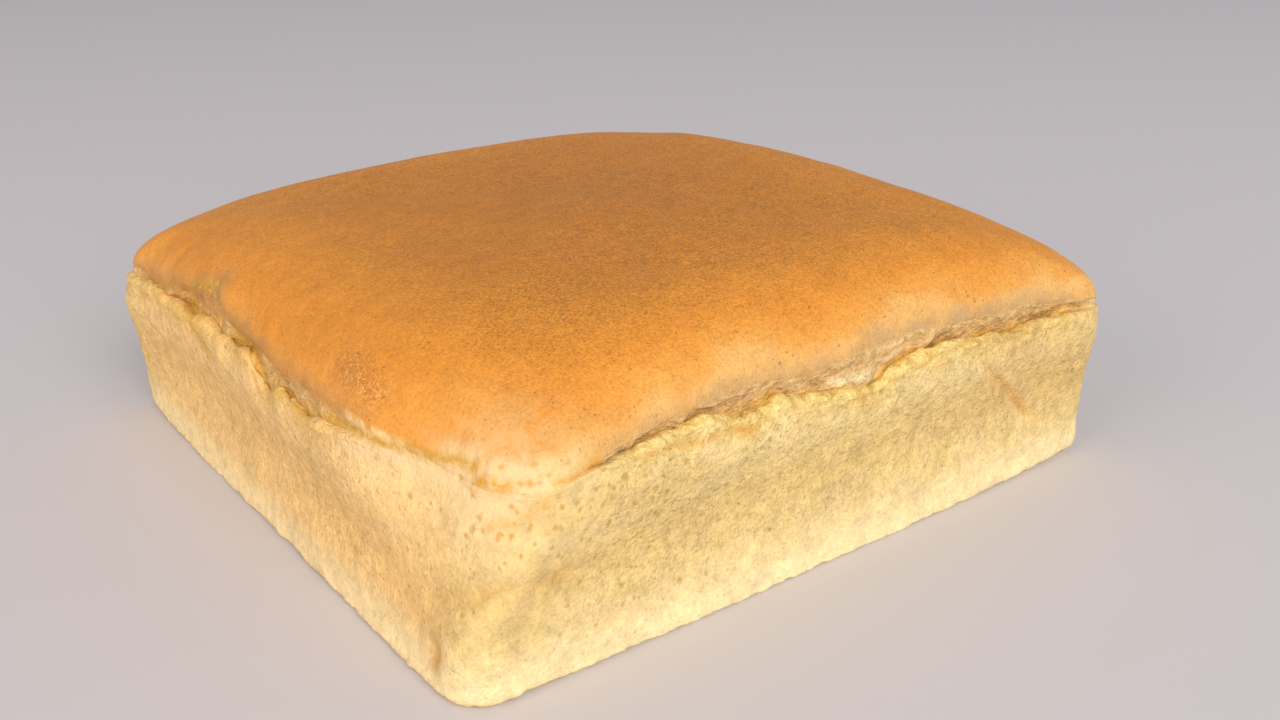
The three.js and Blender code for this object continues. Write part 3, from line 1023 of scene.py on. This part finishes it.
def make_cake():
    skin = make_skin()
    at = Surface(skin)
    base = centre_in_frame(skin.points)
    points = base + skin.normals() * make_relief(at)[:, None]
    points[:, 2] = np.maximum(points[:, 2], 0)
    cake = make_object("castella_cake", points, skin.triangles)
    for name, values in make_masks(at).items():
        layer = cake.data.attributes.new(name, "FLOAT", "POINT")
        layer.data.foreach_set("value", np.asarray(values, np.float32))
    return cake


# Materials.


def srgb(red, green, blue):
    """A colour as the eye reads it, 0 to 255, in the linear values that a shader takes."""
    parts = np.array([red, green, blue]) / 255
    linear = np.where(parts <= 0.04045, parts / 12.92, ((parts + 0.055) / 1.055) ** 2.4)
    return (*linear, 1)


# The edges of pores are pushed about by noise of this size, this far, and fade over this share.
RAGGED_SIZE = 1.3
RAGGED_REACH = 0.55
HOLE_EDGE = 0.45


class Nodes:
    """Short ways to add shader nodes. Sizes are in millimetres."""

    def __init__(self, name):
        self.material = bpy.data.materials.new(name)
        self.material.use_nodes = True
        self.tree = self.material.node_tree
        self.tree.nodes.clear()
        self.place = self.add("ShaderNodeTexCoord").outputs["Object"]
        self.ragged_place = self.warp(RAGGED_SIZE, RAGGED_REACH)

    def add(self, kind, inputs=None, **settings):
        node = self.tree.nodes.new(kind)
        for key, value in settings.items():
            setattr(node, key, value)
        for key, value in (inputs or {}).items():
            if isinstance(value, bpy.types.NodeSocket):
                self.tree.links.new(value, node.inputs[key])
            else:
                node.inputs[key].default_value = value
        return node

    def warp(self, size, reach):
        """The place, pushed about at random."""
        inputs = {"Vector": self.place, "Scale": 1 / (size * MM), "Detail": 1}
        push = self.add("ShaderNodeTexNoise", inputs).outputs["Color"]
        inputs = {0: push, 1: (2 * reach * MM,) * 3, 2: self.place}
        return self.add("ShaderNodeVectorMath", inputs, operation="MULTIPLY_ADD").outputs[0]

    def mask(self, name):
        return self.add("ShaderNodeAttribute", attribute_name=name).outputs["Fac"]

    def noise(self, size, detail=2, roughness=0.5):
        scale = 1 / (size * MM)
        inputs = {"Vector": self.place, "Scale": scale, "Detail": detail, "Roughness": roughness}
        return self.add("ShaderNodeTexNoise", inputs).outputs["Fac"]

    def cells(self, spacing):
        """Cells of about this size: the distance to each one's middle and a number drawn for it."""
        inputs = {"Vector": self.ragged_place, "Scale": 1 / (spacing * MM)}
        cell = self.add("ShaderNodeTexVoronoi", inputs)
        draw = self.add("ShaderNodeSeparateColor", {0: cell.outputs["Color"]}).outputs[0]
        return spacing, cell.outputs["Distance"], draw

    def holes(self, cells, radius, share):
        """1 inside ragged holes of uneven size, 0 round them."""
        spacing, distance, draw = cells
        size = self.span(draw, 1 - share, 1, 0, radius / spacing)
        inside = self.maths("SUBTRACT", size, distance)
        return self.span(inside, 0, HOLE_EDGE * radius / spacing)

    def ramp(self, value, stops):
        node = self.add("ShaderNodeValToRGB", {"Fac": value})
        elements = node.color_ramp.elements
        while len(elements) < len(stops):
            elements.new(0.5)
        for element, (position, colour) in zip(elements, stops):
            element.position = position
            element.color = colour
        return node.outputs["Color"]

    def span(self, value, low, high, to_low=0.0, to_high=1.0):
        inputs = dict(enumerate([value, low, high, to_low, to_high]))
        return self.add("ShaderNodeMapRange", inputs, clamp=True).outputs["Result"]

    def maths(self, operation, a, b):
        return self.add("ShaderNodeMath", {0: a, 1: b}, operation=operation).outputs[0]

    def times(self, a, b):
        return self.maths("MULTIPLY", a, b)

    def part(self, name, share):
        """A mask at a share of its strength."""
        return self.times(self.mask(name), share)

    def patchy(self, name, size, low, high):
        """A mask whose strength comes and goes in patches."""
        return self.part(name, self.span(self.noise(size), 0.35, 0.6, low, high))

    def by_mask(self, name, low, high):
        """A number that goes from low to high where a mask goes from 0 to 1."""
        return self.span(self.mask(name), 0, 1, low, high)

    def total(self, *terms):
        """The sum of values, each given with its weight."""
        result = 0
        for weight, value in terms:
            inputs = {0: value, 1: weight, 2: result}
            node = self.add("ShaderNodeMath", inputs, operation="MULTIPLY_ADD")
            result = node.outputs[0]
        return result

    def uneven(self, *terms):
        """The sum of noises, each given with its weight, less its mean."""
        mean = sum(weight for weight, _ in terms) / 2
        return self.total(*terms, (-1, mean))

    def shade(self, colour, amount):
        inputs = {0: colour, "Scale": amount}
        return self.add("ShaderNodeVectorMath", inputs, operation="SCALE").outputs[0]

    def blend(self, share, a, b):
        inputs = {0: share, 6: a, 7: b}
        return self.add("ShaderNodeMix", inputs, data_type="RGBA").outputs[2]

    def coats(self, colour, layers):
        """Lays colours on, each over the ones before it and by its own share."""
        for share, coat in layers:
            colour = self.blend(share, colour, coat)
        return colour

    def finish(self, inputs):
        """The material, with these inputs of its shader."""
        shader = self.add("ShaderNodeBsdfPrincipled", inputs).outputs[0]
        self.add("ShaderNodeOutputMaterial", {"Surface": shader})
        return self.material


CRUST_STOPS = [
    (0.0, srgb(240, 183, 103)),
    (0.02, srgb(236, 167, 79)),
    (0.055, srgb(238, 161, 66)),
    (0.1, srgb(231, 150, 54)),
    (0.25, srgb(217, 141, 48)),
    (0.45, srgb(207, 132, 43)),
    (0.75, srgb(200, 127, 44)),
    (1.0, srgb(197, 127, 48)),
]
CRUMB = srgb(240, 212, 154)
# Painted shade of the sunk waist of the sides.
CRUMB_WAIST_SHADE = srgb(226, 192, 128)
CRUMB_YELLOW = srgb(228, 198, 118)
# Warmer crumb of the left side: partly its own tone, partly painted warm shade of the side away from the
# key lamp.
CRUMB_LEFT_TONE_AND_SHADE = srgb(255, 202, 132)
# Painted bounce light from the floor on the crumb along the foot.
CRUMB_FOOT_BOUNCE_LIGHT = srgb(252, 228, 174)
# Yellow crumb of the rim: partly its own tone, partly painted highlight.
CRUMB_RIM_AND_HIGHLIGHT = srgb(247, 218, 138)
CRUMB_RIM_DARK = srgb(228, 186, 98)
# A darker, oranger copy of the rim for the left side: partly its own tone, partly painted shade.
RIM_LEFT_TONE_AND_SHADE = srgb(238, 188, 116)
CRUMB_TORN = srgb(236, 196, 136)
CRUMB_TORN_DARK = srgb(202, 162, 102)
# A darker copy of the torn band for the left side: partly its own tone, partly painted shade.
TORN_LEFT_TONE_AND_SHADE = srgb(212, 164, 96)
FLAKE = srgb(254, 234, 188)
GOLDEN = srgb(228, 166, 62)
# Painted shade: the golden lines, darker on the left side.
GOLDEN_LEFT_SHADE = srgb(212, 162, 56)
CREVICE = srgb(226, 184, 78)
PORE = srgb(186, 146, 76)
PIT = srgb(230, 176, 90)
PIT_WAIST = srgb(198, 162, 88)
# Painted shade for the sunk folds, hollows and creases of the crumb.
RECESS_SHADE = srgb(228, 178, 100)
# Brown for the fold and the torn left side, partly painted shade.
BROWNISH_AND_SHADE = srgb(202, 160, 98)
PALE = srgb(250, 216, 164)
CRUST_LIP = srgb(238, 184, 108)
CRUST_SHADED = srgb(204, 164, 110)
SHADED_LEFT = srgb(200, 142, 76)
CRUST_PORE = srgb(170, 98, 34)
CRUST_DARK = srgb(184, 110, 42)
CRUST_CRACK = srgb(252, 204, 132)

# Brightness where all the noises are 0.
CRUMB_SHADE = 0.74
CRUST_SHADE = 0.815

# Spacing of the pores.
WIDE_CELLS = 3.6
NARROW_CELLS = 1.5


def rim_colour(nodes, patch):
    # The rim's yellow is partly its own tone and partly painted highlight.
    colour = nodes.blend(patch, CRUMB_RIM_AND_HIGHLIGHT, CRUMB_RIM_DARK)
    # The left side gets a darker, oranger copy, partly painted shade.
    return nodes.blend(nodes.part("left", 0.65), colour, RIM_LEFT_TONE_AND_SHADE)


def torn_colour(nodes, patch):
    colour = nodes.blend(patch, CRUMB_TORN, CRUMB_TORN_DARK)
    # The left side gets a darker copy, partly painted shade.
    return nodes.blend(nodes.patchy("left", 4, 0.2, 0.8), colour, TORN_LEFT_TONE_AND_SHADE)


def crumb_grain(nodes, colour, holes):
    """Pores, and light and dark spots, weaker where the crumb is calm."""
    lively = nodes.by_mask("calm", 1, 0.75)
    pores = nodes.total(*zip((0.5, 0.45), holes))
    colour = nodes.blend(nodes.times(pores, lively), colour, PORE)
    spots = nodes.uneven((0.8, nodes.noise(0.7, 3, 0.75)), (0.9, nodes.noise(2.4, 3, 0.75)))
    spots = nodes.times(spots, lively)
    broad = (0.3, nodes.noise(9)), (0.25, nodes.noise(4.5))
    return nodes.shade(colour, nodes.total((1, spots), *broad, (1, CRUMB_SHADE)))


def crumb_colour(nodes, holes):
    """Pale crumb of the sides: painted shade at the waist, painted bounce light at the foot, and yellow
    at the rim, partly a painted highlight.
    """
    patch = nodes.span(nodes.noise(5, 3, 0.6), 0.38, 0.62)
    small_patch = nodes.span(nodes.noise(2.2, 2, 0.6), 0.4, 0.62)
    rim = nodes.part("high", nodes.mask("open"))
    layers = [
        # Painted shade at the sunk waist and under the rim.
        (nodes.mask("waist"), CRUMB_WAIST_SHADE),
        (nodes.times(patch, 0.38), CRUMB_YELLOW),
        # Warmer left side, partly painted warm shade.
        (nodes.part("left", 0.5), CRUMB_LEFT_TONE_AND_SHADE),
        # Painted bounce light along the foot.
        (nodes.part("foot", 0.85), CRUMB_FOOT_BOUNCE_LIGHT),
        # Yellow crumb at the rim, partly painted highlight.
        (nodes.times(rim, 0.9), rim_colour(nodes, small_patch)),
        (nodes.part("torn", 0.9), torn_colour(nodes, small_patch)),
        (nodes.part("flake", 0.95), FLAKE),
        # Browner crumb, partly painted shade in the fold and under the lip.
        (nodes.mask("brown"), nodes.blend(nodes.mask("left"), BROWNISH_AND_SHADE, SHADED_LEFT)),
        # Painted shade in the sunk folds, hollows and creases.
        (nodes.part("recess_shade", 0.35), RECESS_SHADE),
        (nodes.part("crease", 0.25), RECESS_SHADE),
        (nodes.patchy("crevice", 5, 0.4, 1), CREVICE),
    ]
    return crumb_grain(nodes, nodes.coats(CRUMB, layers), holes)


def crust_grain(nodes, colour):
    """Light and dark spots, stronger where the crust is browner."""
    grain = nodes.uneven((1.05, nodes.noise(0.6, 3, 0.75)), (0.25, nodes.noise(1.6, 2, 0.7)))
    grain = nodes.times(grain, nodes.span(nodes.mask("run"), 0, 0.3, 0.8, 2.3))
    grain = nodes.times(grain, nodes.by_mask("left", 1, 0.7))
    broad = (0.22, nodes.noise(9)), (0.16, nodes.noise(4.5))
    return nodes.shade(colour, nodes.total((1, grain), *broad, (1, CRUST_SHADE)))


def crust_colour(nodes, holes):
    """Brown in the middle of the top, golden over the shoulder and pale at the lip."""
    drift = nodes.span(nodes.noise(26, 3), 0.25, 0.75, -0.05, 0.05)
    skin = nodes.ramp(nodes.maths("ADD", nodes.mask("run"), drift), CRUST_STOPS)
    level = nodes.maths("SUBTRACT", nodes.noise(1.3, 2, 0.6), 0.5)
    crack = nodes.span(nodes.maths("ABSOLUTE", level, 0), 0, 0.035, 0.85, 0)
    shaded = nodes.blend(nodes.mask("left"), CRUST_SHADED, SHADED_LEFT)
    layers = [
        (nodes.span(nodes.noise(1.1, 3, 0.75), 0.45, 0.75, 0, 0.3), CRUST_DARK),
        (nodes.part("lip", nodes.by_mask("left", 0.5, 0.2)), CRUST_LIP),
        (nodes.patchy("shaded", 7, 0.35, 0.95), shaded),
        (nodes.part("crackled", 0.45), CRUST_DARK),
        (nodes.part("crackled", crack), CRUST_CRACK),
        (nodes.total(*zip((0.6, 0.6), holes)), CRUST_PORE),
    ]
    return crust_grain(nodes, nodes.coats(skin, layers))


def bump(nodes, crumb, crust):
    """Fine relief in millimetres, rough on the crumb and smooth on the crust."""
    coarse = nodes.noise(2.6, 2, 0.6)
    fine = nodes.noise(0.9, 1, 0.6)
    rough = nodes.total((0.9, coarse), (0.6, fine), *zip((-0.2, -0.1), crumb))
    rough = nodes.times(rough, nodes.by_mask("calm", 1, 0.25))
    smooth = nodes.total((0.2, coarse), (0.16, fine), *zip((-0.06, -0.04), crust))
    inputs = {"Height": nodes.by_mask("crust", rough, smooth), "Strength": 1, "Distance": MM}
    return nodes.add("ShaderNodeBump", inputs).outputs["Normal"]


def add_marks(nodes, colour):
    """The pale corner, golden lines and the larger holes, over crumb and crust alike."""
    pale = nodes.part("pale", nodes.by_mask("crust", 1, 0.5))
    patch = nodes.span(nodes.noise(2.6, 3, 0.7), 0.4, 0.58, 0.4, 1)
    pit = nodes.total((1, nodes.mask("pit")), (0.5, nodes.noise(1)), (-1, 0.25))
    layers = [
        (nodes.times(pale, nodes.span(nodes.noise(4, 3, 0.6), 0.3, 0.55)), PALE),
        # Golden lines, with a painted-shade copy on the left side.
        (nodes.part("gold", patch), nodes.blend(nodes.mask("left"), GOLDEN, GOLDEN_LEFT_SHADE)),
        (nodes.span(pit, 0.34, 0.85, 0, 0.85), nodes.blend(nodes.mask("pale"), PIT_WAIST, PIT)),
    ]
    return nodes.coats(colour, layers)


def cake_material():
    nodes = Nodes("sponge_and_crust")
    wide, narrow = nodes.cells(WIDE_CELLS), nodes.cells(NARROW_CELLS)
    crumb = nodes.holes(wide, 0.75, 0.65), nodes.holes(narrow, 0.5, 0.8)
    crust = nodes.holes(wide, 0.5, 0.25), nodes.holes(narrow, 0.42, 0.7)
    skin = crust_colour(nodes, crust)
    colour = nodes.blend(nodes.mask("crust"), crumb_colour(nodes, crumb), skin)
    inputs = {
        "Base Color": add_marks(nodes, colour),
        "Roughness": nodes.by_mask("crust", 0.95, 0.6),
        "Normal": bump(nodes, crumb, crust),
        "Specular IOR Level": 0.3,
        "Subsurface Weight": 0.12,
        "Subsurface Radius": (1, 0.75, 0.45),
        "Subsurface Scale": 1.5 * MM,
    }
    return nodes.finish(inputs)


FLOOR = srgb(214, 209, 212)


def floor_material():
    return Nodes("plain_floor").finish({"Base Color": FLOOR, "Roughness": 0.9})


# Stage.

FLOOR_HALF = 3000
CAMERA_PLACE = (-193.2, -288.5, 164.0)
CAMERA_YAW = -36.119
CAMERA_PITCH = -22.629
CAMERA_ROLL = -1.038
CAMERA_LENS = 37.21
SENSOR_WIDTH = 36


def add_floor():
    corners = np.array([[-1, -1, 0], [1, -1, 0], [1, 1, 0], [-1, 1, 0]]) * FLOOR_HALF
    floor = make_object("floor", corners, np.array([[0, 1, 2], [0, 2, 3]]))
    floor.data.materials.append(floor_material())


def add_camera():
    yaw, pitch, roll = np.radians([CAMERA_YAW, CAMERA_PITCH, CAMERA_ROLL])
    ahead = Vector((-np.sin(yaw) * np.cos(pitch), np.cos(yaw) * np.cos(pitch), np.sin(pitch)))
    level = Vector((np.cos(yaw), np.sin(yaw), 0))
    above = level.cross(ahead)
    right = level * np.cos(roll) + above * np.sin(roll)
    up = above * np.cos(roll) - level * np.sin(roll)
    turn = Matrix((right, up, -ahead)).transposed().to_4x4()
    data = bpy.data.cameras.new("camera")
    data.lens = CAMERA_LENS
    data.sensor_width = SENSOR_WIDTH
    data.clip_start = 0.01
    camera = bpy.data.objects.new("camera", data)
    camera.matrix_world = Matrix.Translation(Vector(CAMERA_PLACE) * MM) @ turn
    bpy.context.collection.objects.link(camera)
    bpy.context.scene.camera = camera


Lamp = namedtuple("Lamp", "name place size power colour")
LAMPS = [
    Lamp("key", (-450, -2200, 1300), 1600, 44, (1, 0.99, 0.97)),
    Lamp("fill", (-2200, -300, 900), 1400, 16, (1, 0.84, 0.68)),
]
WORLD_COLOUR = (0.97, 0.97, 1)
WORLD_STRENGTH = 0.47


def add_lamps():
    for lamp in LAMPS:
        data = bpy.data.lights.new(lamp.name, "AREA")
        data.size = lamp.size * MM
        data.energy = lamp.power
        data.color = lamp.colour
        light = bpy.data.objects.new(lamp.name, data)
        place = Vector(lamp.place) * MM
        light.location = place
        light.rotation_euler = (-place).to_track_quat("-Z", "Y").to_euler()
        bpy.context.collection.objects.link(light)


def set_world():
    world = bpy.data.worlds.new("world")
    world.use_nodes = True
    background = world.node_tree.nodes["Background"]
    background.inputs["Color"].default_value = (*WORLD_COLOUR, 1)
    background.inputs["Strength"].default_value = WORLD_STRENGTH
    bpy.context.scene.world = world
    bpy.context.scene.view_settings.view_transform = "Standard"


cake = make_cake()
cake.data.materials.append(cake_material())
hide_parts("sponge_cake")
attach(cake, "root")

add_floor()
add_lamps()
set_world()
add_camera()
